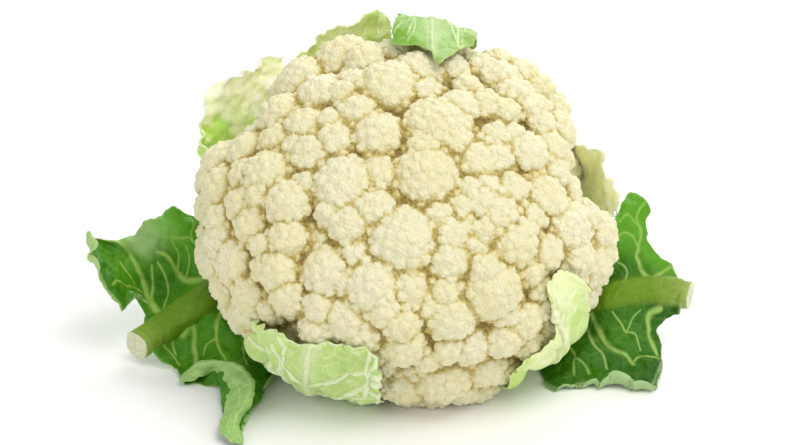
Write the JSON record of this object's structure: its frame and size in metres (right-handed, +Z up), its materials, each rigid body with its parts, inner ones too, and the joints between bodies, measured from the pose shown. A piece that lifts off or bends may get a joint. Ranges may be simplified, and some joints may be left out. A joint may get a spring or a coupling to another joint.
{
  "type": "cauliflower",
  "caption": "Whole trimmed cauliflower head with cream curd, cut stalk, pale inner leaves and dark green outer leaves, lying tilted on a surface",
  "frame": {"origin": "centre of the overall footprint, on the surface the head lies on", "axes": "+Z up, -Y toward the side the crown leans to, +X to the right seen from there, along the spread of the outer leaves"},
  "size_m": [0.2638, 0.1654, 0.1395],
  "materials": {
    "curd": "matt, finely grained cream florets with yellowish creases",
    "stalk": "moist pale green rind with a granular off-white cut face",
    "leaf_outer": "dark green leaf with a soft waxy sheen, paler veins and an olive midrib",
    "leaf_inner": "pale yellow-green to white leaf, satin, veined",
    "leaf_tip": "bright light-green thin leaf, satin",
    "leaf_stub": "pale green fleshy petiole with a pale cut face"
  },
  "bodies": {
    "root": {"curd": "curd", "stalk": "stalk", "leaf_outer_left": "leaf_outer", "leaf_outer_right": "leaf_outer", "leaf_inner_top_left": "leaf_inner", "leaf_inner_top": "leaf_inner", "leaf_inner_top_folded": "leaf_tip", "leaf_inner_right": "leaf_inner", "leaf_inner_lower_right": "leaf_inner", "leaf_inner_lower_left": "leaf_inner", "leaf_stub_1": "leaf_stub", "leaf_stub_2": "leaf_stub", "leaf_stub_3": "leaf_stub"}
  },
  "joints": []
}
